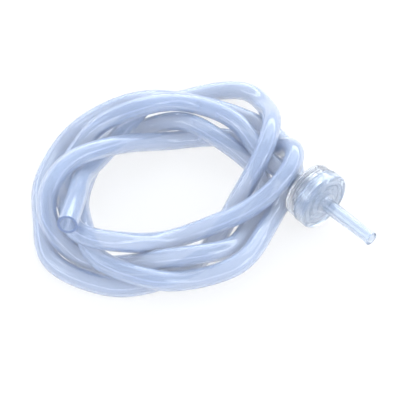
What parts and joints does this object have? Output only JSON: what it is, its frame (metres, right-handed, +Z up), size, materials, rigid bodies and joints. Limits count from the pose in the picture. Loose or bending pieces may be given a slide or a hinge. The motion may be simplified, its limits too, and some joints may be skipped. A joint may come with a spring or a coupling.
{
  "type": "self-starting siphon hose",
  "caption": "Clear flexible siphon hose lying in a loose coil, with a drum-shaped one-way foot valve and slender inlet nozzle on one end.",
  "frame": {"origin": "under the middle of the valve's length, on the surface the valve and the hose lie on", "axes": "+X along the valve's axis towards the nozzle's tip, +Z up; the hose leaves the barb towards -X and lies at -X and -Y"},
  "size_m": [0.1971, 0.1952, 0.0515],
  "materials": {
    "clear_shell": "clear moulded plastic, polished",
    "clear_hose": "clear PVC, faint blue tint, glossy",
    "silicone": "translucent silicone, satin",
    "natural_plastic": "natural moulded plastic"
  },
  "bodies": {
    "outlet": {"outlet_shell": "clear_shell", "seat_plate": "natural_plastic", "disc_cage": "natural_plastic", "siphon_hose": "clear_hose"},
    "disc": {"check_disc": "silicone"},
    "seal": {"seal_ring": "silicone"},
    "cap": {"inlet_shell": "clear_shell"}
  },
  "joints": [
    {"name": "disc_lift", "type": "slide", "parent": "outlet", "child": "disc", "axis": [-1, 0, 0], "range_m": [0, 0.0022]},
    {"name": "cap_travel", "type": "slide", "parent": "outlet", "child": "seal", "axis": [1, 0, 0], "range_m": [0, 0.0046]},
    {"name": "cap_turn", "type": "hinge", "parent": "seal", "child": "cap", "pos_m": [-0.008, 0, 0.0185], "axis": [1, 0, 0], "range_deg": [0, 540]}
  ],
  "couplings": [
    {"joint": "cap_travel", "follows": "cap_turn", "m_per_rad": 0.00047746}
  ]
}
